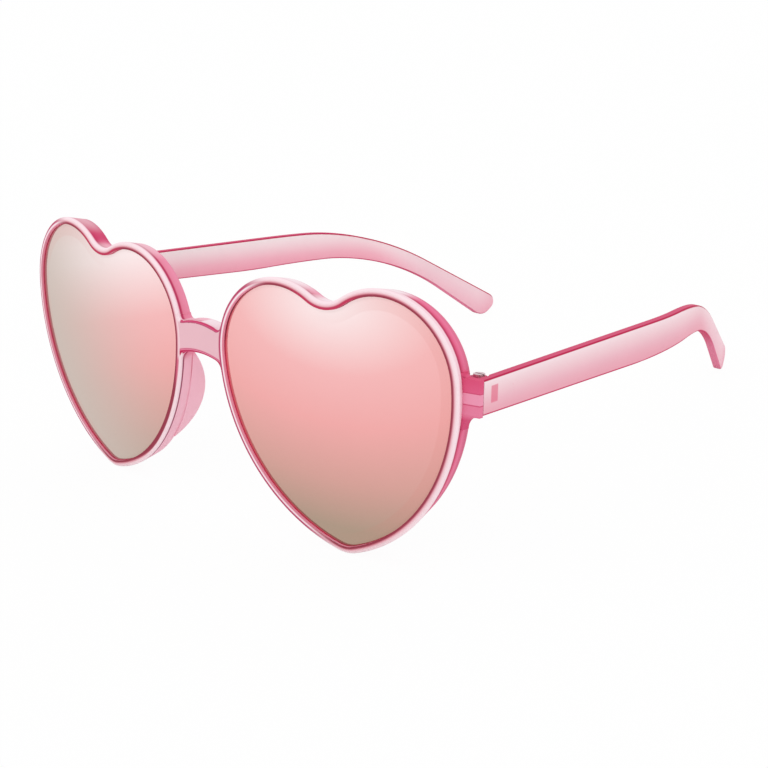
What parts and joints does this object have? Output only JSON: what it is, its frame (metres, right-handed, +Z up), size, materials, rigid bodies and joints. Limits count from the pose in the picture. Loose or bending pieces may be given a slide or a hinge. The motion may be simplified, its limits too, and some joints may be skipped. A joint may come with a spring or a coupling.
{
  "type": "heart-shaped sunglasses",
  "caption": "Sunglasses with heart-shaped mirrored lenses in a clear pink moulded front, and folding temples that turn on hinge screws.",
  "frame": {"origin": "on the floor, under the middle of the footprint of the open glasses standing on heart tips and temple tips", "axes": "+X towards the wearer's left, +Y from the lenses back to the temple tips, +Z up"},
  "size_m": [0.147, 0.142, 0.0593],
  "materials": {
    "frame_plastic": "clear pink moulded plastic, polished",
    "temple_plastic": "clear pink moulded plastic, polished",
    "lens": "plastic lens with a pink mirror coating on the front",
    "steel": "plain small hardware"
  },
  "bodies": {
    "front": {"front_frame": "frame_plastic", "left_lens": "lens", "right_lens": "lens", "left_hinge_screw": "steel", "right_hinge_screw": "steel", "left_hinge_nut": "steel", "right_hinge_nut": "steel"},
    "left_arm": {"left_temple": "temple_plastic"},
    "right_arm": {"right_temple": "temple_plastic"}
  },
  "joints": [
    {"name": "left_temple_fold", "type": "hinge", "parent": "front", "child": "left_arm", "pos_m": [0.0697, -0.05665, 0.03897], "axis": [0, 0.1247, 0.9922], "range_deg": [0, 76]},
    {"name": "right_temple_fold", "type": "hinge", "parent": "front", "child": "right_arm", "pos_m": [-0.0697, -0.05665, 0.03897], "axis": [0, -0.1247, -0.9922], "range_deg": [0, 66]}
  ]
}
